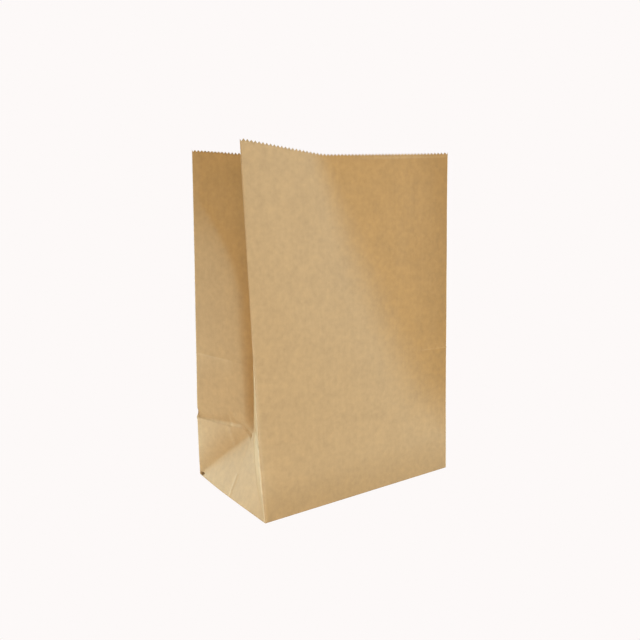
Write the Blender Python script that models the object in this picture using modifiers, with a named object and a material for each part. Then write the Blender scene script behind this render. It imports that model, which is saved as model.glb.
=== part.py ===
# A flat-bottomed kraft paper bag, open at the mouth: one tube of paper with a gusset folded
# into each side, its lower end folded into a block bottom and its mouth cut with pinked teeth.
# The origin is the middle of the base, +Z is up, +Y is the back and the units are metres.

import math

import bmesh
import bpy
import numpy as np
from mathutils.geometry import delaunay_2d_cdt

# Overall size of the opened bag
WIDTH = 0.240
DEPTH = 0.140
HEIGHT = 0.350

# The paper, and the radius that it keeps along an upright fold
PAPER = 0.00015
FOLD_RADIUS = 0.0018

# The gussets: how far each base triangle leans in from upright
LEFT_TRIANGLE_LEAN = math.radians(25.0)
RIGHT_TRIANGLE_LEAN = math.radians(16.0)

# How far each upright fold has moved in x and y from over its base corner, where it passes
# the crease at half the depth of the bag, and at the mouth
FRONT_LEFT_AT_CREASE = (-0.0016, 0.0070)
FRONT_LEFT_AT_MOUTH = (-0.0067, 0.0215)
FRONT_RIGHT_AT_CREASE = (-0.0015, 0.0015)
FRONT_RIGHT_AT_MOUTH = (-0.0083, 0.0034)
REAR_LEFT_AT_CREASE = (-0.0030, -0.0040)
REAR_LEFT_AT_MOUTH = (-0.0004, -0.0040)
REAR_RIGHT_AT_CREASE = (-0.0005, -0.0030)
REAR_RIGHT_AT_MOUTH = (-0.0030, -0.0060)

# The front panel has been pushed in along a soft bend, a straight line in space that runs from
# the mouth down to the right-hand fold, and the lip is cut lower there so that a thumb finds it
BEND_FROM_LEFT = 0.090
BEND_IN_AT_MOUTH = 0.0228
BEND_FOOT = 0.070
BEND_SOFTNESS_AT_FOOT = 0.010
BEND_SOFTNESS_AT_MOUTH = 0.003
LIP_DIP = 0.0100

# The back panel swells a little towards the mouth
BACK_SWELL = 0.006

# Pinked teeth round the mouth
TOOTH_PITCH = 0.004
TOOTH_DEPTH = 0.0018
PLAIN_BELOW_TEETH = 0.0027

# The glued seam down the back panel, and the flaps of the block bottom
SEAM_WIDTH = 0.022
SEAM_FROM_MIDDLE = 0.030
FLAP_OVERLAP = 0.012
STEP_RUN = 0.0003

# Number of paper layers in each place
WALL_LAYERS = 1
SEAM_LAYERS = 2
FRONT_FLAP_LAYERS = 2
BACK_FLAP_LAYERS = 3

# How finely the sheet is divided
PANEL_COLUMNS = 16
GUSSET_COLUMNS = 6
UPPER_ROWS = 14
SHARP_FROM = math.radians(12.0)
TINY = 1e-9

# Kraft paper
PAPER_COLOUR = (0.50, 0.34, 0.17, 1.0)
PAPER_ROUGHNESS = 0.85

# Values that follow from the sizes above
CREASE = DEPTH / 2
LEFT_GUSSET_START = 2 * WIDTH + DEPTH
AROUND = 2 * (WIDTH + DEPTH)


def upright_fold(side, face, at_crease, at_mouth, v):
    """Points along one upright fold, v being the length of paper below them: two straight
    runs, and each rises by what its sideways drift leaves of its length."""
    corner = np.array([side * WIDTH / 2, face * DEPTH / 2, 0.0])
    low = np.array([*at_crease, 0.0])
    high = np.array([*at_mouth, 0.0])
    low[2] = math.sqrt(CREASE**2 - low @ low)
    run = HEIGHT - CREASE
    drift = high[:2] - low[:2]
    high[2] = low[2] + math.sqrt(run**2 - drift @ drift)
    below = np.minimum(v, CREASE)[:, None] / CREASE
    above = np.maximum(v - CREASE, 0.0)[:, None] / run
    return corner + below * low + above * (high - low)


def front_left(v):
    return upright_fold(-1, -1, FRONT_LEFT_AT_CREASE, FRONT_LEFT_AT_MOUTH, v)


def front_right(v):
    return upright_fold(1, -1, FRONT_RIGHT_AT_CREASE, FRONT_RIGHT_AT_MOUTH, v)


def rear_left(v):
    return upright_fold(-1, 1, REAR_LEFT_AT_CREASE, REAR_LEFT_AT_MOUTH, v)


def rear_right(v):
    return upright_fold(1, 1, REAR_RIGHT_AT_CREASE, REAR_RIGHT_AT_MOUTH, v)


def gusset_apex(side, lean):
    """The point where a base triangle ends: its height is half the depth of the bag."""
    inward = WIDTH / 2 - CREASE * math.sin(lean)
    return np.array([side * inward, 0.0, CREASE * math.cos(lean)])


def gusset_valley(side, lean, front_fold, rear_fold, v):
    """Points along the inner fold of a gusset above its apex. At the mouth it lies half the
    depth of the bag away from both upright folds, measured along the paper."""
    apex = gusset_apex(side, lean)
    mouth = np.array([HEIGHT])
    front = front_fold(mouth)[0]
    rear = rear_fold(mouth)[0]
    middle = (front + rear) / 2
    half_opening = np.linalg.norm((rear - front)[:2]) / 2
    lower = CREASE - apex[2]
    inward_depth = math.sqrt(CREASE**2 - half_opening**2 - lower**2)
    along = (rear - front)[:2] / (2 * half_opening)
    inward = np.array([-side * abs(along[1]), side * along[0] * np.sign(along[1]), 0.0])
    top = middle + inward_depth * inward
    run = HEIGHT - CREASE
    drift = (top - apex)[:2]
    top[2] = apex[2] + math.sqrt(run**2 - drift @ drift)
    share = np.maximum(v - CREASE, 0.0)[:, None] / run
    return apex + share * (top - apex)


def half_gusset(side, lean, face, front_fold, rear_fold, s, v):
    """The half of a gusset that hangs on one upright fold, s being the paper's distance from
    that fold. Below the crease it is a corner triangle and half of the base triangle, which
    meet along a diagonal crease."""
    fold = front_fold if face < 0 else rear_fold
    nought = np.zeros(1)
    corner = fold(nought)[0]
    shoulder = fold(nought + CREASE)[0]
    apex = gusset_apex(side, lean)
    middle = np.array([side * WIDTH / 2, 0.0, 0.0])
    low = corner + (
        np.maximum(v - s, 0.0)[:, None] * (shoulder - corner)
        + np.minimum(v, s)[:, None] * (apex - corner)
        + np.maximum(s - v, 0.0)[:, None] * (middle - corner)
    ) / CREASE
    edge = fold(v)
    valley = gusset_valley(side, lean, front_fold, rear_fold, v)
    high = edge + s[:, None] / CREASE * (valley - edge)
    return np.where((v < CREASE)[:, None], low, high)


def bend_rise(v):
    """Nought below the foot of the bend, one at the mouth."""
    return np.clip((v - BEND_FOOT) / (HEIGHT - BEND_FOOT), 0.0, 1.0)


def bend_place(v):
    """How far round from the front left fold the bend is."""
    return WIDTH + bend_rise(v) * (BEND_FROM_LEFT - WIDTH)


def bend_share(u, v):
    """A tent across the front panel, nought at both folds and one along the bend, with its
    ridge rounded off."""
    place = bend_place(v)
    left = u / place
    right = (WIDTH - u) / np.maximum(WIDTH - place, TINY)
    change = BEND_SOFTNESS_AT_MOUTH - BEND_SOFTNESS_AT_FOOT
    soft = (BEND_SOFTNESS_AT_FOOT + change * bend_rise(v) ** 2) / WIDTH
    lower = 0.5 * (left + right - np.sqrt((left - right) ** 2 + 4 * soft))
    at_fold = 0.5 * (1.0 - np.sqrt(1.0 + 4 * soft))
    return np.clip((lower - at_fold) / (1.0 - at_fold), 0.0, 1.0)


def front_panel(u, v):
    """Straight from fold to fold, then pushed in by the tent, as far as brings the bend onto
    its straight line."""
    share = (u / WIDTH)[:, None]
    left = front_left(v)
    right = front_right(v)
    points = (1 - share) * left + share * right
    foot = front_right(np.array([BEND_FOOT]))[0, 1]
    line = foot + bend_rise(v) * (BEND_IN_AT_MOUTH - DEPTH / 2 - foot)
    plain = left[:, 1] + bend_place(v) / WIDTH * (right[:, 1] - left[:, 1])
    push = np.where(v > BEND_FOOT, line - plain, 0.0)
    points[:, 1] += push * bend_share(u, v)
    return points


def back_panel(u, v):
    """Straight from fold to fold, with a swell that grows from the crease to the mouth."""
    share = (u / WIDTH)[:, None]
    points = (1 - share) * rear_right(v) + share * rear_left(v)
    rise = np.clip((v - CREASE) / (HEIGHT - CREASE), 0.0, 1.0)
    points[:, 1] += BACK_SWELL * rise * np.sin(math.pi * u / WIDTH) ** 2
    return points


def sheet(u, v):
    """A point of the paper: u runs round the bag from the front left fold by the right, and v
    is the length of paper below the point."""
    u = np.mod(u, AROUND)
    right = (front_right, rear_right)
    left = (front_left, rear_left)
    right_s = u - WIDTH
    left_s = u - LEFT_GUSSET_START
    choices = (
        (u < WIDTH, front_panel(u, v)),
        (right_s < CREASE, half_gusset(1, RIGHT_TRIANGLE_LEAN, -1, *right, right_s, v)),
        (right_s < DEPTH, half_gusset(1, RIGHT_TRIANGLE_LEAN, 1, *right, DEPTH - right_s, v)),
        (left_s < 0, back_panel(right_s - DEPTH, v)),
        (left_s < CREASE, half_gusset(-1, LEFT_TRIANGLE_LEAN, 1, *left, left_s, v)),
    )
    points = half_gusset(-1, LEFT_TRIANGLE_LEAN, -1, *left, DEPTH - left_s, v)
    for here, value in reversed(choices):
        points = np.where(here[:, None], value, points)
    return points


def rounded_sheet(u, v):
    """The sheet with its upright folds eased to the fold radius."""
    before = sheet(u - FOLD_RADIUS, v)
    after = sheet(u + FOLD_RADIUS, v)
    return (before + 2 * sheet(u, v) + after) / 4


def panel_columns(start, width, count):
    """Where the columns of one panel stand, with one close beside each fold."""
    inner = np.linspace(0.0, width, count + 1)[1:-1]
    return start + np.concatenate([[0.0, FOLD_RADIUS], inner, [width - FOLD_RADIUS]])


def seam_edges():
    """Both edges of the glued seam, as places round the bag."""
    middle = WIDTH + DEPTH + WIDTH / 2 + SEAM_FROM_MIDDLE
    return middle - SEAM_WIDTH / 2, middle + SEAM_WIDTH / 2


def all_columns():
    """Every column of the sheet, in order round the bag."""
    near, far = seam_edges()
    seam = [near, near + STEP_RUN, far - STEP_RUN, far]
    starts = (
        (0.0, WIDTH, PANEL_COLUMNS),
        (WIDTH, CREASE, GUSSET_COLUMNS),
        (WIDTH + CREASE, CREASE, GUSSET_COLUMNS),
        (WIDTH + DEPTH, WIDTH, PANEL_COLUMNS),
        (LEFT_GUSSET_START, CREASE, GUSSET_COLUMNS),
        (LEFT_GUSSET_START + CREASE, CREASE, GUSSET_COLUMNS),
    )
    columns = np.concatenate([panel_columns(*start) for start in starts])
    clear = [abs(columns - edge) > 2 * STEP_RUN for edge in seam]
    return np.sort(np.concatenate([columns[np.all(clear, axis=0)], seam]))


def tooth_points():
    """Places round the mouth and the depth of cut there: a root, then a tip, for each tooth."""
    places = []
    start = 0.0
    for width in (WIDTH, CREASE, CREASE, WIDTH, CREASE, CREASE):
        teeth = max(1, round(width / TOOTH_PITCH))
        places.append(start + np.arange(2 * teeth) * width / (2 * teeth))
        start += width
    places = np.concatenate(places)
    cut = np.where(np.arange(len(places)) % 2 == 0, TOOTH_DEPTH, 0.0)
    return places, cut


def lip_drop(u, v):
    """How much lower the front lip is cut, shared out over the paper above the crease."""
    front = np.clip(np.mod(u, AROUND), 0.0, WIDTH)
    rise = np.clip((v - CREASE) / (HEIGHT - CREASE), 0.0, 1.0)
    return LIP_DIP * bend_share(front, np.full_like(front, HEIGHT)) * rise**2


def row_heights():
    """Heights of the rows of columns: even steps to the crease, then even steps to just
    below the teeth."""
    low = np.linspace(0.0, CREASE, GUSSET_COLUMNS + 1)
    top = HEIGHT - TOOTH_DEPTH - PLAIN_BELOW_TEETH
    high = np.linspace(CREASE, top, UPPER_ROWS + 1)
    return np.concatenate([low, high[1:]])


def layers_of_base(x, y):
    """Layers of paper under a point of the floor: the back flap lies over the front one, and
    both leave a triangle of single paper at each end."""
    from_end = WIDTH / 2 - abs(x)
    if y >= -FLAP_OVERLAP and from_end >= DEPTH / 2 - y:
        return BACK_FLAP_LAYERS
    if from_end >= DEPTH / 2 + y:
        return FRONT_FLAP_LAYERS
    return WALL_LAYERS


def layers_of_wall(u):
    near, far = seam_edges()
    inside = near + STEP_RUN / 2 < np.mod(u, AROUND) < far - STEP_RUN / 2
    return SEAM_LAYERS if inside else WALL_LAYERS


def flap_lines():
    """The visible edges of the folded flaps on the floor, each as a pair of close lines, so
    that the paper steps down between them."""
    lines = []
    reach = DEPTH / 2 + FLAP_OVERLAP
    start = FOLD_RADIUS
    for side in (-1, 1):
        end = side * WIDTH / 2
        for shift in (0.0, STEP_RUN):
            back_start = [end - side * start, DEPTH / 2 - start - shift]
            back_end = [end - side * reach, -FLAP_OVERLAP - shift]
            front_start = [end - side * start, start + shift - DEPTH / 2]
            front_end = [end - side * DEPTH / 2, shift]
            lines += [np.array([back_start, back_end]), np.array([front_start, front_end])]
    for shift in (0.0, STEP_RUN):
        half = WIDTH / 2 - reach
        y = -FLAP_OVERLAP - shift
        lines.append(np.array([[-half, y], [half, y]]))
    return lines


def add_wall(bm, layer, columns, heights):
    """Adds the tube of paper row by row. Returns its bottom and top rings of vertices."""
    rings = []
    for height in heights:
        v = np.full_like(columns, height)
        points = rounded_sheet(columns, v - lip_drop(columns, v))
        ring = [bm.verts.new(point) for point in points]
        for vert, u in zip(ring, columns):
            vert[layer][0] = layers_of_wall(u) / BACK_FLAP_LAYERS
        rings.append(ring)
    count = len(columns)
    gusset_middles = (WIDTH + CREASE, LEFT_GUSSET_START + CREASE)
    for lower, upper in zip(rings, rings[1:]):
        for i in range(count):
            k = (i + 1) % count
            rising = any(TINY <= middle - columns[i] < CREASE + TINY for middle in gusset_middles)
            a, b, c, d = lower[i], lower[k], upper[k], upper[i]
            if rising:
                bm.faces.new((a, b, c))
                bm.faces.new((a, c, d))
            else:
                bm.faces.new((a, b, d))
                bm.faces.new((b, c, d))
    return rings[0], rings[-1]


def add_teeth(bm, layer, columns, top_ring):
    """Joins the top ring to the toothed edge by stepping along whichever is behind."""
    places, cut = tooth_points()
    top = np.full_like(places, HEIGHT)
    points = rounded_sheet(places, top - cut - lip_drop(places, top))
    ring = [bm.verts.new(point) for point in points]
    for vert, u in zip(ring, places):
        vert[layer][0] = layers_of_wall(u) / BACK_FLAP_LAYERS
    low = np.append(columns, AROUND)
    high = np.append(places, AROUND)
    i = j = 0
    while i < len(columns) or j < len(places):
        a = top_ring[i % len(columns)]
        b = ring[j % len(places)]
        step_low = j == len(places) or (i < len(columns) and low[i + 1] < high[j + 1])
        if step_low:
            i += 1
            bm.faces.new((a, top_ring[i % len(columns)], b))
        else:
            j += 1
            bm.faces.new((a, ring[j % len(places)], b))


def add_floor(bm, layer, bottom_ring):
    """Fills the floor between the walls, with an edge along each line of the flaps."""
    points = [vert.co.xy.copy() for vert in bottom_ring]
    edges = [(i, (i + 1) % len(points)) for i in range(len(points))]
    for line in flap_lines():
        first = len(points)
        points += [type(points[0])(point) for point in line]
        edges.append((first, first + 1))
    flat, _, faces, sources, _, _ = delaunay_2d_cdt(points, edges, [], 1, STEP_RUN / 100)
    verts = []
    for point, source in zip(flat, sources):
        on_wall = [index for index in source if index < len(bottom_ring)]
        if on_wall:
            vert = bottom_ring[on_wall[0]]
        else:
            vert = bm.verts.new((point.x, point.y, 0.0))
        vert[layer][0] = layers_of_base(point.x, point.y) / BACK_FLAP_LAYERS
        verts.append(vert)
    for face in faces:
        bm.faces.new([verts[index] for index in reversed(face)])


def make_kraft():
    material = bpy.data.materials.new("kraft_paper")
    material.use_nodes = True
    shader = material.node_tree.nodes["Principled BSDF"]
    shader.inputs["Base Color"].default_value = PAPER_COLOUR
    shader.inputs["Roughness"].default_value = PAPER_ROUGHNESS
    shader.inputs["Metallic"].default_value = 0.0
    return material


def make_bag(collection):
    """The bag as one open sheet, given its thickness outwards by a Solidify modifier that
    thickens it by the number of layers. The whole is lifted to stand on its outer flap."""
    columns = all_columns()
    bm = bmesh.new()
    layer = bm.verts.layers.deform.verify()
    bottom_ring, top_ring = add_wall(bm, layer, columns, row_heights())
    add_teeth(bm, layer, columns, top_ring)
    add_floor(bm, layer, bottom_ring)
    bmesh.ops.translate(bm, verts=bm.verts, vec=(0.0, 0.0, BACK_FLAP_LAYERS * PAPER))
    mesh = bpy.data.meshes.new("paper_bag")
    bm.to_mesh(mesh)
    bm.free()
    mesh.shade_smooth()
    mesh.set_sharp_from_angle(angle=SHARP_FROM)
    bag = bpy.data.objects.new("paper_bag", mesh)
    collection.objects.link(bag)
    bag.vertex_groups.new(name="layers")
    mesh.materials.append(make_kraft())
    wall = bag.modifiers.new("paper_thickness", "SOLIDIFY")
    wall.thickness = BACK_FLAP_LAYERS * PAPER
    wall.offset = 1.0
    wall.use_even_offset = True
    wall.vertex_group = "layers"
    wall.thickness_vertex_group = 0.0
    return bag


def main():
    for old in list(bpy.data.objects):
        bpy.data.objects.remove(old, do_unlink=True)
    collection = bpy.data.collections.new("paper_bag_model")
    bpy.context.scene.collection.children.link(collection)
    make_bag(collection)


main()
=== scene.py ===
import math

import bmesh
import bpy
import numpy as np
from mathutils import Matrix, Vector


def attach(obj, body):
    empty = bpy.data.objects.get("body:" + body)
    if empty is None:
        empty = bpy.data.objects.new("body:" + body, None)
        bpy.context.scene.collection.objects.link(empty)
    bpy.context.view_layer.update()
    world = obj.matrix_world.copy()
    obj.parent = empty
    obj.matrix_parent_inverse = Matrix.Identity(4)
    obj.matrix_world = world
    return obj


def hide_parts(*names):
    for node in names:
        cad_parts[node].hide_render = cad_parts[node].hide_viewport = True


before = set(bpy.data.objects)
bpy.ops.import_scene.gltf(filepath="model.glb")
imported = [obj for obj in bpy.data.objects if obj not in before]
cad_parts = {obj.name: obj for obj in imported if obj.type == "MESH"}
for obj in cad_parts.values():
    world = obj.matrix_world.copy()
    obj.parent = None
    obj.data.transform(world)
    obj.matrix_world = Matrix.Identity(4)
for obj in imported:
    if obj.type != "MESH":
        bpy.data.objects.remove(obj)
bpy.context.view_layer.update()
print("frame loaded:", sorted(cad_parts))


# the bag's form, in metres; u runs round the paper from the front left fold by the right,
# v is the length of paper below a point
bagShape = {
    "width": 0.240,
    "depth": 0.140,
    "height": 0.350,
    "paper": 0.00015,          # thickness
    "baseLayers": 3,
    "foldRadius": 0.0016,      # of the upright folds
    "creaseRadius": 0.0007,    # of the creases that run across
    "leftLean": math.radians(25.0),    # how far each gusset's foot leans inwards
    "rightLean": math.radians(16.0),
    # sideways drift of each upright fold (side, face): at the crease, at the mouth
    "foldDrift": {
        (-1, -1): ((-0.0016, 0.0070), (-0.0078, 0.0215)),
        (1, -1): ((-0.0015, 0.0015), (-0.0083, 0.0034)),
        (-1, 1): ((-0.0030, -0.0040), (-0.0004, -0.0040)),
        (1, 1): ((-0.0005, -0.0030), (-0.0030, -0.0060)),
    },
    "bendFromLeft": 0.090,     # where the bend of the front panel starts on the lip
    "bendIn": 0.0243,          # how far the lip stands in from the base line there
    "bendFoot": 0.035,         # where the bend meets the right-hand fold
    "bendBow": 0.010,          # how far the bend bows to the left on its way down
    "bendSoft": (0.014, 0.0005),       # how round the bend is low down, and at the mouth
    "rightCurl": 0.018,        # curl of the part right of the bend, towards its fold
    "edgeRoll": (-0.0008, 0.014),      # turn of the front's low left edge, and its width
    "edgeRollFoot": (0.0, 0.03),       # where it comes in going up, and how fast
    "edgeRollTop": (0.150, -0.12),     # where it ends, and how fast it fades below that
    "diagonalSoft": 0.012,     # how round the diagonals of the gussets' feet are
    "cornerLift": (0.0026, 0.075, 0.07),   # rise of the rear left corner, reach along, reach up
    "lipRise": (0.0012, 0.004, 0.2),   # extra height of the front lip, its start, its end
    "lipDip": 0.0090,          # how much lower the front lip is cut at the bend
    "backSwell": 0.006,
    "toothDepth": 0.0021,
    "toothPitch": 0.004,
    "toothReach": 0.005,       # how far below the mouth the grid follows the teeth
    "seamWidth": 0.022,
    "seamFromMiddle": 0.030,
    "flapOverlap": 0.012,
}
crease = bagShape["depth"] / 2
leftGusset = 2 * bagShape["width"] + bagShape["depth"]
around = 2 * (bagShape["width"] + bagShape["depth"])
lift = bagShape["baseLayers"] * bagShape["paper"]


def easedStep(x):
    # nought below nought, one above one, and an s-shaped cubic between
    x = np.clip(x, 0.0, 1.0)
    return x * x * (3 - 2 * x)


def ramp(x, start, reach):
    # an eased step that leaves nought at start and comes to one a reach further on; with a
    # negative reach it is nought above start and one below
    return easedStep((x - start) / reach)


def hump(x, wide):
    # a bell curve
    return np.exp(-((x / wide) ** 2))


def uprightFold(side, face, v):
    # two straight runs, base corner to crease and crease to mouth; each rises by what its
    # sideways drift leaves of its length
    atCrease, atMouth = bagShape["foldDrift"][side, face]
    corner = np.array([side * bagShape["width"] / 2, face * crease, 0.0])
    low = np.array([*atCrease, 0.0])
    low[2] = math.sqrt(crease**2 - low @ low)
    run = bagShape["height"] - crease
    drift = np.array(atMouth) - low[:2]
    rise = np.array([*drift, math.sqrt(run**2 - drift @ drift)])
    below = np.minimum(v, crease)[..., None] / crease
    above = np.maximum(v - crease, 0.0)[..., None] / run
    return corner + below * low + above * rise


def gussetApex(side):
    # where a gusset's valley meets its crease: the corner triangle leans in by its angle
    lean = bagShape["leftLean"] if side < 0 else bagShape["rightLean"]
    inward = bagShape["width"] / 2 - crease * math.sin(lean)
    return np.array([side * inward, 0.0, crease * math.cos(lean)])


def gussetValley(side, v):
    # a straight line from the apex to the mouth, where it lies half the depth away from both
    # upright folds, measured along the paper
    apex = gussetApex(side)
    mouth = np.array([bagShape["height"]])
    front = uprightFold(side, -1, mouth)[0]
    rear = uprightFold(side, 1, mouth)[0]
    halfOpening = np.linalg.norm((rear - front)[:2]) / 2
    inwardDepth = math.sqrt(crease**2 - halfOpening**2 - (crease - apex[2]) ** 2)
    along = (rear - front)[:2] / (2 * halfOpening)
    inward = np.array([-side * along[1], side * along[0], 0.0])
    top = (front + rear) / 2 + inwardDepth * inward
    run = bagShape["height"] - crease
    drift = (top - apex)[:2]
    top[2] = apex[2] + math.sqrt(run**2 - drift @ drift)
    return apex + np.maximum(v - crease, 0.0)[..., None] / run * (top - apex)


def halfGusset(side, face, s, v):
    # s is the distance from the upright fold. Below the crease a point is the corner plus
    # shares of three edges, split by the diagonal, where the larger and the smaller of s and v
    # pass softly into each other; above it, it lies on the straight line between the fold and
    # the valley
    corner = uprightFold(side, face, np.zeros(1))[0]
    shoulder = uprightFold(side, face, np.full(1, crease))[0]
    apex = gussetApex(side)
    middle = np.array([side * bagShape["width"] / 2, 0.0, 0.0])
    along = np.clip((s + v) / (2 * crease), 0.0, 1.0)
    soft = bagShape["diagonalSoft"] * 4 * along * (1 - along)
    over = 0.5 * (v - s + np.sqrt((v - s) ** 2 + soft**2))
    over = np.clip(over, 0.0, v)
    under = over - (v - s)
    low = corner + (
        over[..., None] * (shoulder - corner)
        + (v - over)[..., None] * (apex - corner)
        + under[..., None] * (middle - corner)
    ) / crease
    edge = uprightFold(side, face, v)
    high = edge + s[..., None] / crease * (gussetValley(side, v) - edge)
    return np.where((v < crease)[..., None], low, high)


def bendPlace(v):
    # how far up the bend a height lies, nought at its foot and one at the mouth, and where
    # round the paper the bend is there: a straight line that bows by a parabola
    width, foot = bagShape["width"], bagShape["bendFoot"]
    rise = np.clip((v - foot) / (bagShape["height"] - foot), 0.0, 1.0)
    bow = bagShape["bendBow"] * 4 * rise * (1 - rise)
    return rise, width + rise * (bagShape["bendFromLeft"] - width) - bow


def bendTent(u, v):
    # a tent across the front panel: nought at both folds, one along the bend, whose top is
    # rounded off; the bend runs from the lip down to the right-hand fold
    width = bagShape["width"]
    rise, peak = bendPlace(v)
    left = u / peak
    right = (width - u) / np.maximum(width - peak, 1e-6)
    lowSoft, mouthSoft = bagShape["bendSoft"]
    soft = (lowSoft + (mouthSoft - lowSoft) * rise**8) / width
    lower = 0.5 * (left + right - np.sqrt((left - right) ** 2 + 4 * soft))
    atFold = 0.5 * (1.0 - np.sqrt(1.0 + 4 * soft))
    return np.clip((lower - atFold) / (1.0 - atFold), 0.0, 1.0), rise, peak


def frontPanel(u, v):
    # straight from fold to fold, then pushed in by the tent, so that the bend itself is a
    # straight line in space
    width = bagShape["width"]
    share = u / width
    left, right = uprightFold(-1, -1, v), uprightFold(1, -1, v)
    points = (1 - share)[..., None] * left + share[..., None] * right
    tent, rise, peak = bendTent(u, v)
    footY = uprightFold(1, -1, np.full(1, bagShape["bendFoot"]))[0, 1]
    lineY = footY + rise * (bagShape["bendIn"] - crease - footY)
    flatY = left[..., 1] + peak / width * (right[..., 1] - left[..., 1])
    points[..., 1] += tent * (lineY - flatY) * (rise > 0)
    # the part right of the bend curls inwards between it and its fold, and the low left edge
    # turns forward
    across = np.clip((u - peak) / np.maximum(width - peak, 1e-6), 0.0, 1.0)
    share = (width - peak) / (width - bagShape["bendFromLeft"])
    points[..., 1] += bagShape["rightCurl"] * share**2 * across**2 * (1 - across)
    deep, reach = bagShape["edgeRoll"]
    low = ramp(v, *bagShape["edgeRollTop"]) * ramp(v, *bagShape["edgeRollFoot"])
    points[..., 1] += deep * np.clip(1 - u / reach, 0.0, 1.0) ** 2 * low
    return points


def backPanel(u, v):
    # straight from fold to fold, with a swell that grows from the crease to the mouth
    width = bagShape["width"]
    share = (u / width)[..., None]
    points = (1 - share) * uprightFold(1, 1, v) + share * uprightFold(-1, 1, v)
    rise = np.clip((v - crease) / (bagShape["height"] - crease), 0.0, 1.0)
    points[..., 1] += bagShape["backSwell"] * rise * np.sin(math.pi * u / width) ** 2
    return points


def paperAt(u, v):
    # picks the panel that holds u; below the base fold the paper lies flat, set in by -v
    width, depth = bagShape["width"], bagShape["depth"]
    u = np.mod(u, around)
    up = np.maximum(v, 0.0)
    rightS, leftS = u - width, u - leftGusset
    points = np.select(
        [
            (u < width)[..., None],
            (rightS < crease)[..., None],
            (rightS < depth)[..., None],
            (leftS < 0)[..., None],
            (leftS < crease)[..., None],
        ],
        [
            frontPanel(u, up),
            halfGusset(1, -1, rightS, up),
            halfGusset(1, 1, depth - rightS, up),
            backPanel(rightS - depth, up),
            halfGusset(-1, 1, leftS, up),
        ],
        halfGusset(-1, -1, depth - leftS, up),
    )
    inset = np.maximum(-v, 0.0)
    for axis, half in ((0, width / 2), (1, crease)):
        reach = np.where(v < 0, half - inset, 1.0)
        points[..., axis] = np.clip(points[..., axis], -reach, reach)
    return points


def easedPaper(u, v):
    # the weighted mean of fifteen points round each point, which rounds every fold and crease
    points = 0.0
    ru, rv = bagShape["foldRadius"], bagShape["creaseRadius"]
    for du, wu in ((-ru, 0.1), (-ru / 2, 0.2), (0.0, 0.4), (ru / 2, 0.2), (ru, 0.1)):
        for dv, wv in ((-rv, 0.25), (0.0, 0.5), (rv, 0.25)):
            points = points + wu * wv * paperAt(u + du, v + dv)
    return points


def smoothNoise(u, v, cell, seed):
    # values at the knots of a lattice, joined by a smooth step; it closes on itself round u
    rng = np.random.default_rng(seed)
    across = max(2, round(around / cell[0]))
    lattice = rng.uniform(-1, 1, (600, across))
    x = np.mod(u, around) / around * across
    y = v / cell[1] + 50
    i, j = np.floor(x).astype(int), np.floor(y).astype(int)
    fx, fy = easedStep(x - i), easedStep(y - j)
    i0, i1 = i % across, (i + 1) % across
    low = lattice[j, i0] * (1 - fx) + lattice[j, i1] * fx
    high = lattice[j + 1, i0] * (1 - fx) + lattice[j + 1, i1] * fx
    return low * (1 - fy) + high * fy


def gussetPlace(u):
    # the place round the paper, how far that is past the rear left fold, and the distance from
    # the nearer upright fold of the gusset it is on
    place = np.mod(u, around)
    rear = place - leftGusset
    s = np.where(rear > 0, rear, place - bagShape["width"])
    return place, rear, np.clip(np.minimum(s, bagShape["depth"] - s), 0.0, crease)


def gussetShare(u):
    # one on the gussets, nought on the panels
    u = np.mod(u, around)
    rightS = u - bagShape["width"]
    leftS = u - leftGusset
    inside = (rightS > 0) & (rightS < bagShape["depth"]) | (leftS > 0)
    return inside.astype(float)


# the left gusset's rear half doesn't lie flat: it stands out in a soft ridge, which leaves the
# rear fold high up, swings down towards the valley and runs beside it to the crease
buckle = {
    "slope": 0.060,
    "top": 0.300,
    "turn": 0.190,
    "across": 0.056,           # where the ridge is at its turn
    "drift": 0.070,            # how much it nears the valley for each length below that
    "keepOff": (0.002, 0.004),         # least distance from the fold and from the valley
    "soft": (0.00048, 0.0040),         # how round the ridge is low down, and what it gains
    "softRise": (0.15, 0.1),           # where it gains that, and over what height
    "fade": (0.012, 0.03),             # how fast it ends at the crease and at its top
}


def buckleRidge(v):
    # where the ridge lies: a half parabola above the turn and a straight line below it
    turn = buckle["turn"]
    upper = np.clip((v - turn) / (buckle["top"] - turn), 0, 1)
    ridge = buckle["across"] * (1 - upper**2) + buckle["drift"] * np.maximum(turn - v, 0.0)
    offFold, offValley = buckle["keepOff"]
    return np.clip(ridge, offFold, crease - offValley)


def buckleAt(s, v):
    # a tent over s with its top at the ridge; its height is the slope times the ridge's place
    ridge = buckleRidge(v)
    left, right = s / ridge, (crease - s) / (crease - ridge)
    (low, gain), (start, over) = buckle["soft"], buckle["softRise"]
    soft = (low + gain * np.clip((v - start) / over, 0, 1)) / crease
    tent = 0.5 * (left + right - np.sqrt((left - right) ** 2 + 4 * soft))
    tent = np.clip(tent - 0.5 * (1 - np.sqrt(1 + 4 * soft)), 0.0, None)
    atCrease, atTop = buckle["fade"]
    fade = np.clip((v - crease) / atCrease, 0.0, 1.0)
    fade = fade * np.clip((buckle["top"] - v) / atTop, 0.0, 1.0)
    return buckle["slope"] * ridge * tent * fade


# where painted shade makes the paper a deeper brown; each pair is the start and the reach of a ramp
paintedShadeShares = {
    "frontAhead": 0.006,       # how far left of the bend the middle of the border lies
    "frontBorder": (0.030, 0.080),     # its width at the mouth, and what it gains to the foot
    "frontFoot": (0.01, 0.11),
    "inner": 0.74,             # the left gusset's inner side, from the buckle's ridge on
    "innerBorder": (-0.003, 0.012),
    "innerFoot": (0.072, 0.03),
    "top": 0.62,               # the left gusset's top
    "topBorder": (0.235, 0.100),
    "gussetFoot": (0.072, 0.01),
    "gussetEnd": (0.085, -0.015),
    "base": 0.3,               # painted shade on the front's lowest part
    "baseBorder": (0.045, -0.045),
}


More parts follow.
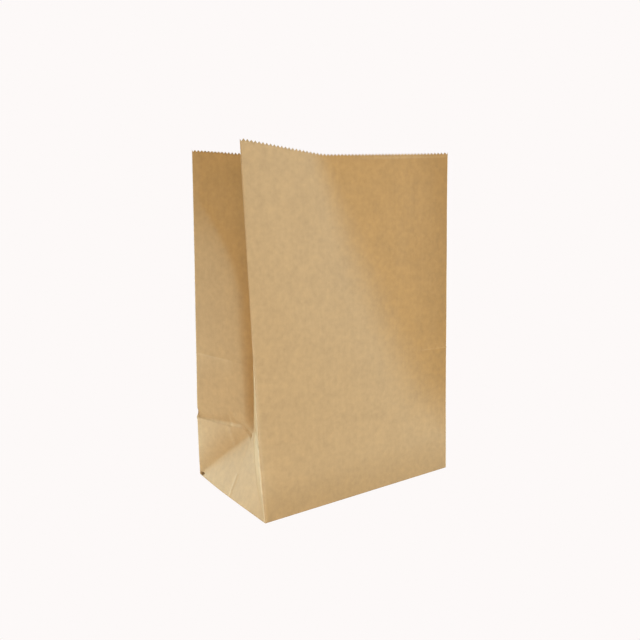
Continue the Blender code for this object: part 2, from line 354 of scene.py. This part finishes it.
def paintedShadeTone(u, v):
    # the share of painted shade, a deeper brown: ramps multiplied, one on the upper right of the
    # front and less at the top and the inner side of the left gusset, and some on the front's
    # lowest part
    u = np.mod(u, around)
    rise, peak = bendPlace(v)
    narrow, gain = paintedShadeShares["frontBorder"]
    border = (u - peak + paintedShadeShares["frontAhead"]) / (narrow + gain * (1 - rise))
    front = easedStep(border + 0.5) * ramp(v, *paintedShadeShares["frontFoot"])
    front = front + paintedShadeShares["base"] * ramp(v, *paintedShadeShares["baseBorder"])
    rear = u - leftGusset
    inner = ramp(rear - buckleRidge(v), *paintedShadeShares["innerBorder"])
    inner = paintedShadeShares["inner"] * inner * ramp(v, *paintedShadeShares["innerFoot"])
    top = paintedShadeShares["top"] * ramp(v, *paintedShadeShares["topBorder"])
    gusset = np.maximum(inner, top) * ramp(v, *paintedShadeShares["gussetFoot"])
    gusset = gusset * ramp(rear, *paintedShadeShares["gussetEnd"])
    return np.where(u < bagShape["width"], front, np.where(rear > 0, gusset, 0.0))


# small relief that use and making leave in the paper, in metres
relief = {
    "cockle": ((0.045, 0.060, 0.00022), (0.016, 0.024, 0.00006)),   # cell along u, v, height
    "pressHeight": 0.140,
    "pressRidge": (0.00024, 0.0012),   # height and width of the pressed line
    "pressEnds": (0.045, 0.12),        # how far it runs on the panels, its least share there
    "creaseBow": (0.0045, 0.056),      # how far the gusset's crease bows up, and where most
    "creaseGroove": (0.0015, 0.0016, 0.0042),   # depth, width below, width above
    "creaseFade": (0.012, 0.2),        # over what width it fades at the valley, and to what
    "rearSwell": 0.0022,               # bulge of the corner triangles below the crease
    "pinchReach": 0.012,
    # pushes where the crease meets the rear fold: height, how far out, width
    "pinch": ((0.0755, -0.0011, 0.0030), (0.0690, 0.00055, 0.0022)),
    "crumple": (0.0010, 0.007, 0.004),          # at the apex: height, reach, cell
    "pit": (0.0065, 0.0046, 0.0030, 0.0014),    # depth, distance in, length, width
    "pitClimb": (0.0020, 0.25, 0.004),          # its height there, its slope, from where
    "baseHold": 0.001,                 # height over which the relief comes in
}
# shares of a paler tone where the paper is rubbed or strained, which on the crease, the near fold,
# the corner triangles, the marks and the apex is partly painted highlight; and of painted shade,
# below nought, along the front's foot and by its right-hand edge; each inner pair is the start and
# the reach of a ramp
wearAndPaintedLightShares = {
    "crease": (0.55, 0.0016, 0.0014, (0.064, -0.02)),      # share, how far below, width
    "nearFold": (0.62, 0.0010, 0.0018, (0.22, -0.12)),     # share, how far round, width
    "fold": (0.20, 0.0012),
    "mouth": (0.24, 0.0035, 0.0012, (0.110, 0.06)),        # share, how far below, width
    "triangle": (0.50, (0.0, -0.004), (0.0, 0.045)),
    "press": (0.30, 0.0008, (0.050, -0.01)),
    "pressPanel": (0.18, (0.195, 0.02)),
    "belowPress": (0.4, -0.001, (0.110, 0.03)),
    "mark": 0.22,
    "apex": (0.002, 0.003, 0.004),     # before the valley, below the crease, width
    "foot": (0.12, (0.050, -0.050)),
    "rightEdge": (0.09, (0.185, 0.055), (0.05, 0.08)),
}
# ridges and nicks of the left gusset's rear half: from (s, v), to (s, v), height, width
marks = (
    ((0.041, 0.069), (0.049, 0.050), 0.00055, 0.0011),
    ((0.041, 0.071), (0.0405, 0.079), -0.0011, 0.0013),
    ((0.036, 0.072), (0.035, 0.078), -0.0005, 0.0012),
    ((0.050, 0.073), (0.046, 0.084), -0.0006, 0.0016),
    ((0.0690, 0.000), (0.0690, 0.024), 0.00045, 0.0020),
    ((0.062, 0.071), (0.069, 0.066), -0.0009, 0.0012),
    ((0.064, 0.066), (0.069, 0.061), 0.0008, 0.0010),
)


def markAt(s, v, start, end, wide):
    # a bell curve of the distance from a straight stretch
    alongS, alongV = end[0] - start[0], end[1] - start[1]
    share = ((s - start[0]) * alongS + (v - start[1]) * alongV) / (alongS**2 + alongV**2)
    share = np.clip(share, 0.0, 1.0)
    return hump(np.hypot(s - start[0] - share * alongS, v - start[1] - share * alongV), wide)


def cornerSwell(s, v):
    # the product of a point's three shares of the corner triangle: nought on all its edges
    return 27 * np.clip(v - s, 0, None) * s * np.clip(crease - v, 0, None) / crease**3


def creaseLine(s, v):
    # height above the gusset's crease, which bows up in two straight runs to its highest place
    bow, most = relief["creaseBow"]
    return v - crease - bow * np.minimum(s / most, (crease - s) / (crease - most))


def pitShare(rear, v):
    # the hollow beside the rear corner: a bell curve whose middle climbs away from the fold; it
    # gives both the hollow's depth and the painted shade in it
    _, inward, long, wide = relief["pit"]
    base, slope, start = relief["pitClimb"]
    climb = base + slope * (rear - start)
    return hump(rear - inward, long) * hump(v - climb, wide) * (rear > 0)


def wearAndPaintedLight(u, v):
    # above nought where folds, creases and the corner triangles are pale, from wear and partly from
    # painted highlight; below it where shade is painted, in the hollow, along the foot and by the
    # right-hand edge: bell curves and ramps, added up
    width, pressHeight = bagShape["width"], relief["pressHeight"]
    u, rear, s = gussetPlace(u)
    onFront, onGusset = u < width, gussetShare(u)
    line = creaseLine(s, v)

    # paler along the crease and beside the near fold: partly wear, partly painted highlight
    share, shift, wide, end = wearAndPaintedLightShares["crease"]
    pale = share * onGusset * hump(line + shift, wide) * ramp(s, *end)
    share, shift, wide, end = wearAndPaintedLightShares["nearFold"]
    fromNear = np.minimum(u, around - u)
    fromNear = np.where(u > width, fromNear - shift, fromNear)
    pale += share * hump(fromNear, wide) * ramp(v, *end)
    share, wide = wearAndPaintedLightShares["fold"]
    for edge in (width, width + bagShape["depth"], leftGusset):
        pale += share * hump(u - edge, wide)
    share, shift, wide, end = wearAndPaintedLightShares["mouth"]
    pale += share * hump(bagShape["height"] - v - shift, wide) * ramp(u, *end) * onFront
    # painted highlight on the corner triangles below the crease
    share, below, within = wearAndPaintedLightShares["triangle"]
    pale += share * onGusset * ramp(line, *below) * ramp(v - s, *within)

    share, wide, end = wearAndPaintedLightShares["press"]
    pressed = hump(v - pressHeight, wide)
    under, edge, foot = wearAndPaintedLightShares["belowPress"]
    belowLine = under * ramp(v, pressHeight, edge) * ramp(v, *foot)
    pale += share * (pressed + belowLine) * onGusset * ramp(s, *end)
    share, end = wearAndPaintedLightShares["pressPanel"]
    pale += share * pressed * ramp(u, *end) * onFront

    # paler on the raised marks and at the apex: partly wear, partly painted highlight
    for start, end, high, wide in marks:
        pale += wearAndPaintedLightShares["mark"] * (high > 0) * markAt(rear, v, start, end, wide) * (rear > 0)
    before, under, wide = wearAndPaintedLightShares["apex"]
    pale += wearAndPaintedLightShares["mark"] * hump(np.hypot(rear - crease + before, v - crease + under), wide)

    # painted shade along the front's foot and by its right-hand edge, and below, in the hollow
    # beside the rear corner
    share, end = wearAndPaintedLightShares["foot"]
    dark = share * ramp(v, *end) * onFront
    share, across, foot = wearAndPaintedLightShares["rightEdge"]
    dark += share * ramp(u, *across) * ramp(v, *foot) * onFront
    return np.clip(pale, 0.0, 1.0) - pitShare(rear, v) - dark


def reliefAt(u, v):
    # how far the paper stands out from its plain form: cockle, the pressed line at the depth
    # of the bag, and on the gussets the crease's groove, swells, a pinch and small marks
    out = np.zeros_like(v)
    for seed, (cellU, cellV, high) in enumerate(relief["cockle"]):
        out += high * smoothNoise(u, v, (cellU, cellV), 11 + seed)
    place, rear, s = gussetPlace(u)
    onGusset = gussetShare(u)

    # the pressed line shows on the gussets and beside the front right fold
    reach, least = relief["pressEnds"]
    plain = np.clip(1 - np.abs(place - bagShape["width"]) / reach, least, 1.0)
    plain = np.where(onGusset > 0, 1.0, plain)
    high, wide = relief["pressRidge"]
    out += plain * high * hump(v - relief["pressHeight"], wide)

    line = creaseLine(s, v)
    deep, below, above = relief["creaseGroove"]
    over, least = relief["creaseFade"]
    fade = np.clip((crease - s) / over, least, 1.0)
    out -= onGusset * fade * deep * hump(line, np.where(line < 0, below, above))
    out += onGusset * relief["rearSwell"] * cornerSwell(s, v)

    onRear = ((rear > 0) & (rear < crease)).astype(float)
    out += onRear * buckleAt(np.clip(rear, 0.0, crease), v)
    nearRear = hump(np.minimum(np.abs(rear), around), relief["pinchReach"])
    for height, push, wide in relief["pinch"]:
        out += push * nearRear * hump(v - height, wide)
    for start, end, high, wide in marks:
        out += high * markAt(rear, v, start, end, wide) * (rear > 0)
    high, reach, cell = relief["crumple"]
    nearApex = hump(np.hypot(rear - crease, v - crease), reach)
    out += high * nearApex * smoothNoise(u, v, (cell, cell), 19)
    out -= relief["pit"][0] * pitShare(rear, v)
    return out * np.clip(v / relief["baseHold"], 0.0, 1.0)


def seamEdges():
    # the glue seam's two edges round the paper: half its width either side of its middle
    middle = 1.5 * bagShape["width"] + bagShape["depth"] + bagShape["seamFromMiddle"]
    return middle - bagShape["seamWidth"] / 2, middle + bagShape["seamWidth"] / 2


# spacing of the paper's grid, in metres
grid = {
    "column": 0.002,           # half the teeth's pitch: a column at each root and each tip
    "besideFold": (-0.0016, -0.0012, -0.0008, -0.0004, 0.0004, 0.0008, 0.0012, 0.0016),
    "pocket": (0.002, 0.0095, 0.001),
    "besideValley": (-0.0026, 0.0026),
    "floor": (0.070, 0.060, 0.050, 0.040, 0.030, 0.020, 0.012, 0.006, 0.003, 0.0015, 0.0007),
    "foot": (0.0, 0.0005, 0.001, 0.0015),
    "footFine": (0.002, 0.006, 0.001),
    "below": (0.006, 0.002),
    "crease": (-0.004, -0.003, -0.002, -0.001, -0.0005, 0.0, 0.0005, 0.001, 0.002, 0.003,
               0.0045, 0.006, 0.0075, 0.009),
    "press": (-0.002, -0.001, 0.0, 0.001, 0.002),
    "rowsBetween": 14,
    "rowsAbove": 34,
    "lip": (0.006, 0.004, 0.0025, 0.0),
}


def gridColumns():
    # even columns, with more beside each fold, in the rear corner's hollow and by the valley;
    # the first lies under the glue seam
    width = bagShape["width"]
    starts = np.cumsum([0.0, width, crease, crease, width, crease])
    even = np.arange(0.0, around, grid["column"])
    near = [start + shift for start in starts for shift in grid["besideFold"]]
    pocket = leftGusset + np.arange(*grid["pocket"])
    middle = leftGusset + crease + np.array(grid["besideValley"])
    columns = np.mod(np.concatenate([even, near, pocket, middle]), around)
    columns = np.unique(np.round(columns, 6))
    return np.roll(columns, -int(np.searchsorted(columns, seamEdges()[0] + 0.010)))


def gridRows():
    # from the innermost ring of the floor, which has negative v, up to the lip
    first, step = grid["below"]
    fine = crease + np.array(grid["crease"])
    press = relief["pressHeight"] + np.array(grid["press"])
    lip = bagShape["height"] - np.array(grid["lip"])
    return np.concatenate([
        -np.array(grid["floor"]),
        grid["foot"],
        np.arange(*grid["footFine"]),
        np.arange(first, crease - 0.005, step),
        fine,
        np.linspace(fine[-1], press[0], grid["rowsBetween"])[1:-1],
        press,
        np.linspace(press[-1], lip[0], grid["rowsAbove"])[1:],
        lip[1:],
    ])


def toothCut(u):
    # a triangle wave, nought at a tip and the tooth's depth at a root
    phase = np.mod(u / bagShape["toothPitch"], 1.0)
    return bagShape["toothDepth"] * (1 - np.abs(1 - 2 * phase))


def surfaceGrid(u, v, extra=0.0):
    # the paper with its cut mouth and its relief, pushed out along its own normal, which is the
    # cross product of two short differences
    width, height = bagShape["width"], bagShape["height"]
    nearMouth = np.clip(1 - (height - v) / bagShape["toothReach"], 0.0, 1.0)
    paperV = v - nearMouth * toothCut(u)
    onFront = np.clip(np.mod(u, around), 0.0, width)
    rise = np.clip((v - crease) / (height - crease), 0.0, 1.0)
    dip = bagShape["lipDip"] * bendTent(onFront, np.full_like(v, height))[0] * rise**2
    high, start, end = bagShape["lipRise"]
    raised = high * rise**8 * ramp(onFront, 0.0, start) * ramp(onFront, width, -end)
    paperV = paperV - dip + raised
    step = 0.0006
    alongU = easedPaper(u + step, paperV) - easedPaper(u - step, paperV)
    alongV = easedPaper(u, paperV + step) - easedPaper(u, paperV - step)
    normal = np.cross(alongU, alongV)
    normal /= np.maximum(np.linalg.norm(normal, axis=-1, keepdims=True), 1e-12)
    points = easedPaper(u, paperV) + (reliefAt(u, paperV) + extra)[..., None] * normal
    points[..., 2] += lift
    return raiseCorner(points), paperV


def raiseCorner(points):
    # the rear left corner doesn't touch the table: it stands up a little, fading out over the
    # floor by a square and up the sides in a straight line
    high, along, up = bagShape["cornerLift"]
    away = np.hypot(points[..., 0] + bagShape["width"] / 2, points[..., 1] - crease)
    share = np.clip(1 - away / along, 0.0, 1.0) ** 2 * np.clip(1 - points[..., 2] / up, 0.0, 1.0)
    points[..., 2] += high * share
    return points


def linkMesh(name, points, faces, corners, material, tones=None):
    # corners holds u and v for every corner of every face, for the UV map; the paper's
    # thickness goes on the side that the faces point to
    mesh = bpy.data.meshes.new(name)
    mesh.from_pydata(points.reshape(-1, 3).tolist(), [], faces.tolist())
    layer = mesh.uv_layers.new(name="paperUV")
    layer.data.foreach_set("uv", np.asarray(corners, dtype=np.float32).ravel())
    for toneName, tone in (tones or {}).items():
        layer = mesh.attributes.new(toneName, "FLOAT", "POINT")
        layer.data.foreach_set("value", tone.ravel().astype(np.float32))
    mesh.polygons.foreach_set("use_smooth", np.ones(len(faces), dtype=bool))
    mesh.materials.append(material)
    piece = bpy.data.objects.new(name, mesh)
    bpy.context.scene.collection.objects.link(piece)
    wall = piece.modifiers.new("paperThickness", "SOLIDIFY")
    wall.thickness = bagShape["paper"]
    wall.offset = 1.0
    wall.use_even_offset = False
    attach(piece, "root")
    return piece


def makeTube(material):
    # the grid of columns and rows; each square is split along the side on which the gusset's
    # diagonal lies, and the innermost ring of the floor is closed
    columns, rows = gridColumns(), gridRows()
    u, v = np.meshgrid(columns, rows)
    points, paperV = surfaceGrid(u, v)
    count = len(columns)
    j, i = np.meshgrid(np.arange(len(rows) - 1), np.arange(count), indexing="ij")
    k = (i + 1) % count
    square = np.stack([j * count + i, j * count + k, (j + 1) * count + k, (j + 1) * count + i], -1)
    unrolled = np.unwrap(columns, period=around)
    unrolled = np.append(unrolled, unrolled[0] + around) - unrolled[0]
    squareU = np.stack([unrolled[i], unrolled[i + 1], unrolled[i + 1], unrolled[i]], -1)
    squareV = np.stack([paperV[j, i], paperV[j, k], paperV[j + 1, k], paperV[j + 1, i]], -1)
    falling = np.zeros(count, dtype=bool)
    place = np.mod(columns, around)
    for start in (bagShape["width"] + crease, leftGusset + crease):
        falling |= (place >= start - 1e-9) & (place < start + crease - 1e-9)
    pick = np.where(falling[i][..., None], (0, 1, 3, 1, 2, 3), (0, 1, 2, 0, 2, 3))
    faces, cornerU, cornerV = (
        np.take_along_axis(part, pick, -1).reshape(-1, 3) for part in (square, squareU, squareV)
    )
    # painted shade, and wear with painted highlight and shade, stored per point for the material
    tones = {"paintedShadeTone": paintedShadeTone(u, v), "wearAndPaintedLight": wearAndPaintedLight(u, v)}
    piece = linkMesh("paper_tube", points, faces, np.stack([cornerU, cornerV], -1), material, tones)
    bm = bmesh.new()
    bm.from_mesh(piece.data)
    bm.verts.ensure_lookup_table()
    bmesh.ops.remove_doubles(bm, verts=bm.verts[:count], dist=0.0003)
    bmesh.ops.dissolve_degenerate(bm, edges=bm.edges[:], dist=1e-7)
    bm.to_mesh(piece.data)
    bm.free()
    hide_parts("paper_bag")
    print("tube:", len(piece.data.polygons), "faces")


def makeSheet(name, points, u, v, material):
    # a plain grid of squares from arrays of rows and columns
    rowCount, count = u.shape
    j, i = np.meshgrid(np.arange(rowCount - 1), np.arange(count - 1), indexing="ij")
    first = j * count + i
    faces = np.stack([first, first + 1, first + count + 1, first + count], -1).reshape(-1, 4)
    uv = np.stack([u, v], -1).reshape(-1, 2)
    linkMesh(name, points, faces, uv[faces], material)


seamStrip = {
    "stand": 0.00017,    # between the panel's inner side and the strip's
    "wave": 0.00006,
    "waveCell": (0.010, 0.014),
    "foot": 0.0005,      # height at which the strip starts
    "columns": 12,
    "edgeColumn": 0.0005,
}


def makeSeam(material):
    # the strip of paper that laps over the back panel: the panel itself, moved out by its
    # thickness, with the glue's slight waves along both edges
    near, far = seamEdges()
    edge = seamStrip["edgeColumn"]
    rows = gridRows()
    rows = rows[rows >= seamStrip["foot"]]
    between = np.linspace(near, far, seamStrip["columns"])[1:-1]
    columns = np.unique(np.round([near, near + edge, *between, far - edge, far], 6))
    u, v = np.meshgrid(columns, rows)
    side = 2 * (u - near) / (far - near) - 1
    wave = seamStrip["wave"] * smoothNoise(u, v, seamStrip["waveCell"], 31) * side**2
    points, paperV = surfaceGrid(u, v, seamStrip["stand"] + np.abs(wave))
    start = gridColumns()[0]
    makeSheet("glue_seam", points, u - start + around * (u < start), paperV, material)
    print("seam:", len(rows), "rows")


flaps = {
    # name: face it folds from, reach across the floor, height of its upper side
    "outer_flap": (1, crease + bagShape["flapOverlap"], 1 * bagShape["paper"]),
    "inner_flap": (-1, crease, 2 * bagShape["paper"]),
    "inside_flap": (-1, crease, lift + 0.00002 + bagShape["paper"]),
}
endFlaps = {
    # name: side it folds from
    "left_end_flap": -1,
    "right_end_flap": 1,
}
flapFit = {
    "setIn": 0.0006,           # of a long flap from the floor's edge
    "endSetIn": 0.0012,        # of an end flap
    "endHeight": lift + 2 * bagShape["paper"] + 0.00004,
    "wave": 0.00001,
    "cells": (60, 24),
}


def makeFlaps(material):
    # each long flap is a trapezium: it starts along one long edge of the floor and draws in
    # by as much as it reaches; the two end flaps inside are plain oblongs. Corners run so that
    # a flap's thickness goes down on a long flap and up on an end flap
    width = bagShape["width"]
    along, across = flapFit["cells"]
    a, b = np.meshgrid(np.linspace(0, 1, along + 1), np.linspace(0, 1, across + 1))
    for seed, (name, (face, reach, top)) in enumerate(flaps.items()):
        out = flapFit["setIn"] + b * (reach - flapFit["setIn"])
        x = (2 * a - 1) * (width / 2 - out)
        y = face * (crease - out)
        z = top + flapFit["wave"] * smoothNoise(x + 1, y + 1, (0.03, 0.03), 41 + seed)
        points = raiseCorner(np.stack([x, y, z], -1))
        order = slice(None, None, face)
        makeSheet(name, points[:, order], x[:, order] + 1.0, -y[:, order], material)
    for name, side in endFlaps.items():
        x = side * (width / 2 - flapFit["endSetIn"] - b * (crease + bagShape["flapOverlap"]))
        y = (2 * a - 1) * (crease - flapFit["endSetIn"])
        points = raiseCorner(np.stack([x, y, np.full_like(x, flapFit["endHeight"])], -1))
        order = slice(None, None, side)
        makeSheet(name, points[:, order], x[:, order] + 1.0, y[:, order], material)
    print("flaps:", len(flaps) + len(endFlaps))


class Sock:
    # wraps a shader socket, so that arithmetic on it adds Math nodes
    def __init__(self, tree, socket):
        self.tree, self.socket = tree, socket

    def maths(self, operation, *values):
        return addNode(self.tree, "ShaderNodeMath", {"operation": operation}, *values)

    def __add__(self, other):
        return self.maths("ADD", self, other)

    def __sub__(self, other):
        return self.maths("SUBTRACT", self, other)

    def __rsub__(self, other):
        return self.maths("SUBTRACT", other, self)

    def __mul__(self, other):
        return self.maths("MULTIPLY", self, other)

    def __truediv__(self, other):
        return self.maths("DIVIDE", self, other)

    __radd__ = __add__
    __rmul__ = __mul__


def addNode(tree, kind, settings, *values, output=0, **named):
    # any node: its settings first, then the values or links of its sockets
    node = tree.nodes.new(kind)
    for key, value in settings.items():
        setattr(node, key, value)
    pairs = list(zip(node.inputs, values))
    pairs += [(node.inputs[key.replace("_", " ")], value) for key, value in named.items()]
    for socket, value in pairs:
        if isinstance(value, Sock):
            tree.links.new(value.socket, socket)
        elif value is not None:
            socket.default_value = value
    return Sock(tree, node.outputs[output])


def mixColour(tree, share, first, second):
    # two colours or colour sockets, mixed by a socket's value
    mixed = tree.nodes.new("ShaderNodeMix")
    mixed.data_type = "RGBA"
    tree.links.new(share.socket, mixed.inputs[0])
    for socket, colour in ((mixed.inputs[6], first), (mixed.inputs[7], second)):
        if isinstance(colour, Sock):
            tree.links.new(colour.socket, socket)
        else:
            socket.default_value = (*colour, 1.0)
    return Sock(tree, mixed.outputs[2])


paperFinish = {
    "colour": (0.351, 0.236, 0.113),
    # the colour of painted shade, a deeper brown
    "paintedShadeColour": (0.328, 0.190, 0.059),
    # the colour of rubbed paper and of painted highlight
    "rubbedAndHighlight": (0.450, 0.350, 0.215),
    "roughness": 0.62,
    "sheen": 0.27,
    "grain": 0.55,             # roughness of the noise itself
    # name: scale, detail, squash, share in the paper's lightness
    "clouds": (190.0, 3.0, (1, 1, 1), 0.30),
    "patches": (95.0, 2.0, (1, 1, 1), 0.16),
    "broad": (40.0, 2.0, (1, 1, 1), 0.12),
    "streaks": (420.0, 2.0, (1, 1, 0.04), 0.08),
    "fibres": (1400.0, 2.0, (1, 1, 0.35), 0.10),
    "mottleInPaintedShade": (0.9, 0.1),        # the mottle's strength, and its gain in the painted shade
    "patchTint": 0.2,
    # how far painted shade darkens the paper at most
    "darkest": 0.85,
    "relief": (0.5, 0.5, 0.3),         # shares of clouds, fibres and streaks in the bump
    "bump": (0.25, 0.0002),            # strength, distance
}


def makeKraft():
    # fibre clouds, faint upright streaks and specks in the paper's own brown; the tube's two tone
    # attributes mix in painted shade as a deeper brown and wear with painted highlight as a paler
    # one, and darken the paper where shade is painted
    material = bpy.data.materials.new("kraft paper")
    material.use_nodes = True
    tree = material.node_tree
    shader = tree.nodes["Principled BSDF"]
    where = addNode(tree, "ShaderNodeTexCoord", {}, output=3)

    def pattern(name):
        # a noise, and the same about nought, times its share in the lightness
        scale, detail, squash, share = paperFinish[name]
        mapped = addNode(tree, "ShaderNodeMapping", {}, Vector=where, Scale=squash)
        noise = addNode(
            tree, "ShaderNodeTexNoise", {},
            Vector=mapped, Scale=scale, Detail=detail, Roughness=paperFinish["grain"],
        )
        return noise, (noise - 0.5) * share

    def toneLayer(name):
        return addNode(tree, "ShaderNodeAttribute", {"attribute_name": name}, output=2)

    clouds, cloudShade = pattern("clouds")
    patches, patchShade = pattern("patches")
    _, broadShade = pattern("broad")
    streaks, streakShade = pattern("streaks")
    fibres, fibreShade = pattern("fibres")
    # the first attribute is painted shade; the second is paler tone from wear and painted highlight
    # above nought, and painted shade below it
    deep, fold = toneLayer("paintedShadeTone"), toneLayer("wearAndPaintedLight")
    # pale takes the wear and painted highlight, dark the painted shade
    pale = addNode(tree, "ShaderNodeClamp", {}, fold)
    dark = addNode(tree, "ShaderNodeClamp", {}, fold * -1.0)
    strength, gain = paperFinish["mottleInPaintedShade"]
    mottle = (cloudShade + patchShade + broadShade) * (strength + gain * deep)
    # the painted shade darkens the lightness by up to the darkest share
    shade = (1 + mottle + streakShade + fibreShade) * (1 - paperFinish["darkest"] * dark)
    # painted shade mixes in the deeper brown, shifted by the patches' random tone
    paintedShadeMix = deep + (patches - 0.5) * paperFinish["patchTint"]
    tone = mixColour(tree, paintedShadeMix, paperFinish["colour"], paperFinish["paintedShadeColour"])
    # the paler tone of rubbed paper and painted highlight
    tone = mixColour(tree, pale, tone, paperFinish["rubbedAndHighlight"])
    base = addNode(tree, "ShaderNodeVectorMath", {"operation": "SCALE"}, tone, Scale=shade)
    tree.links.new(base.socket, shader.inputs["Base Color"])
    inClouds, inFibres, inStreaks = paperFinish["relief"]
    height = clouds * inClouds + fibres * inFibres + streaks * inStreaks
    strength, distance = paperFinish["bump"]
    bump = addNode(tree, "ShaderNodeBump", {}, Strength=strength, Distance=distance, Height=height)
    tree.links.new(bump.socket, shader.inputs["Normal"])
    shader.inputs["Roughness"].default_value = paperFinish["roughness"]
    shader.inputs["Specular IOR Level"].default_value = paperFinish["sheen"]
    return material


# stage, lights and camera
stage = {
    "white": (0.982, 0.947, 0.939),
    "radius": 4.0,
    "wallHeight": 3.0,
    "footRadius": 0.6,
    "wallArc": (95, 215),      # degrees from the front to the right, by the back
    "wallCells": 48,
    "footCells": 12,
    "floorSides": 96,
    "world": 0.15,
    "outside": (0.44, 0.15),   # the glow's share right and left of what the camera sees
    "margin": 0.05,
    "fade": 0.30,
}
lamps = {
    # name: azimuth from the front to the right, elevation, distance, size, power, colour
    "sideSoftbox": (68, 12, 1.6, 0.95, 43.0, (0.82, 1.0, 1.10)),
    "frontLeftLamp": (-33, 17, 1.6, 0.7, 10.2, (1.15, 1.0, 0.80)),
    "frontLamp": (8, 20, 1.6, 0.7, 6.1, (1.15, 1.0, 0.80)),
    "rearLeftLamp": (-150, 4, 1.6, 0.7, 13.8, (0.82, 1.0, 1.0)),
    "lowRearLamp": (-135, -9, 0.75, 0.25, 4.3, (0.82, 1.0, 1.0)),
    "lowLeftLamp": (-75, -9, 0.75, 0.25, 2.6, (1.15, 1.0, 0.80)),
    "topLamp": (0, 87, 1.4, 0.6, 4.0, (1.0, 1.0, 1.0)),
}
lampTarget = (0.0, 0.0, 0.17)
view = {
    "place": (-0.41124, -0.56504, 0.28112),
    "turn": math.radians(35.572),      # from straight back towards the right
    "pitch": math.radians(8.820),      # downwards
    "lens": 36.75,
    "sensor": 36.0,
    "clip": (0.01, 50.0),
    "halfWide": math.radians(27.0),    # half of what the camera sees, with a little over
}


def besideView(tree, side):
    # how far a point of the stage lies beside the camera's view, on the right (1) or the left
    # (-1): its distance from the edge of the view, taken as nought to one over the fade
    where = addNode(tree, "ShaderNodeTexCoord", {}, output=3)
    x, y = (addNode(tree, "ShaderNodeSeparateXYZ", {}, where, output=axis) for axis in (0, 1))
    edge = view["turn"] + side * view["halfWide"]
    away = (x - view["place"][0]) * math.cos(edge) - (y - view["place"][1]) * math.sin(edge)
    share = (away * side - stage["margin"]) / stage["fade"]
    return addNode(tree, "ShaderNodeClamp", {}, share)


def makeStage():
    # a wide pale floor and a pale wall behind, joined by a round foot; both only glow, so the
    # bag leaves no shadow and the wall has no edge in the camera's view
    material = bpy.data.materials.new("pale floor")
    material.use_nodes = True
    tree = material.node_tree
    shader = tree.nodes["Principled BSDF"]
    shader.inputs["Base Color"].default_value = (0.0, 0.0, 0.0, 1.0)
    shader.inputs["Roughness"].default_value = 0.9
    shader.inputs["Specular IOR Level"].default_value = 0.0
    right, left = (
        (1 - outside) * besideView(tree, side) for outside, side in zip(stage["outside"], (1, -1))
    )
    glow = 1 - right - left
    white = stage["white"]
    colour = addNode(tree, "ShaderNodeVectorMath", {"operation": "SCALE"}, white, Scale=glow)
    tree.links.new(colour.socket, shader.inputs["Emission Color"])
    shader.inputs["Emission Strength"].default_value = 1.0

    radius, foot = stage["radius"], stage["footRadius"]
    bend = np.linspace(0, math.pi / 2, stage["footCells"] + 1)
    reach = np.concatenate([radius - foot + foot * np.sin(bend), [radius]])
    height = np.concatenate([foot - foot * np.cos(bend), [stage["wallHeight"]]])
    cells = stage["wallCells"]
    arc = np.radians(np.linspace(*stage["wallArc"], cells + 1))
    tall = np.outer(height, np.ones_like(arc))
    wall = np.stack([np.outer(reach, np.sin(arc)), -np.outer(reach, np.cos(arc)), tall], -1)
    j, i = np.meshgrid(np.arange(len(reach) - 1), np.arange(cells), indexing="ij")
    first, above = j * (cells + 1) + i, (j + 1) * (cells + 1) + i
    squares = np.stack([above, above + 1, first + 1, first], -1).reshape(-1, 4)
    sides = stage["floorSides"]
    turn = np.linspace(0, 2 * math.pi, sides + 1)[:-1]
    ring = np.stack([np.cos(turn), np.sin(turn), np.zeros(sides)], -1) * radius
    for name, points, faces in (
        ("floor", ring, [list(range(sides))]),
        ("backdrop", wall.reshape(-1, 3), squares.tolist()),
    ):
        mesh = bpy.data.meshes.new(name)
        mesh.from_pydata(points.tolist(), [], faces)
        mesh.materials.append(material)
        staged = bpy.data.objects.new(name, mesh)
        bpy.context.scene.collection.objects.link(staged)
    world = bpy.data.worlds.new("studio")
    bpy.context.scene.world = world
    world.use_nodes = True
    back = world.node_tree.nodes["Background"]
    back.inputs["Color"].default_value = (*white, 1.0)
    back.inputs["Strength"].default_value = stage["world"]


def makeLamps():
    # square softboxes on spheres round the bag's middle, all turned towards it
    target = Vector(lampTarget)
    for name, (azimuth, elevation, distance, size, power, colour) in lamps.items():
        a, e = math.radians(azimuth), math.radians(elevation)
        away = Vector((math.sin(a) * math.cos(e), -math.cos(a) * math.cos(e), math.sin(e)))
        data = bpy.data.lights.new(name, "AREA")
        data.shape = "SQUARE"
        data.size = size
        data.energy = power
        data.color = colour
        lamp = bpy.data.objects.new(name, data)
        bpy.context.scene.collection.objects.link(lamp)
        lamp.location = target + away * distance
        lamp.rotation_mode = "QUATERNION"
        lamp.rotation_quaternion = (target - lamp.location).to_track_quat("-Z", "Y")


def makeCamera():
    # the camera's own right, up and backward directions are the columns of its turn
    t, p = view["turn"], view["pitch"]
    forward = np.array([math.sin(t) * math.cos(p), math.cos(t) * math.cos(p), -math.sin(p)])
    right = np.array([math.cos(t), -math.sin(t), 0.0])
    up = np.cross(right, forward)
    data = bpy.data.cameras.new("camera")
    data.lens = view["lens"]
    data.sensor_width = view["sensor"]
    data.clip_start, data.clip_end = view["clip"]
    camera = bpy.data.objects.new("camera", data)
    bpy.context.scene.collection.objects.link(camera)
    matrix = Matrix(np.stack([right, up, -forward], 1).tolist()).to_4x4()
    matrix.translation = view["place"]
    camera.matrix_world = matrix
    bpy.context.scene.camera = camera


kraft = makeKraft()
makeTube(kraft)
makeSeam(kraft)
makeFlaps(kraft)
makeStage()
makeLamps()
makeCamera()
bpy.context.scene.view_settings.view_transform = "Standard"
print("stage, lamps and camera set")
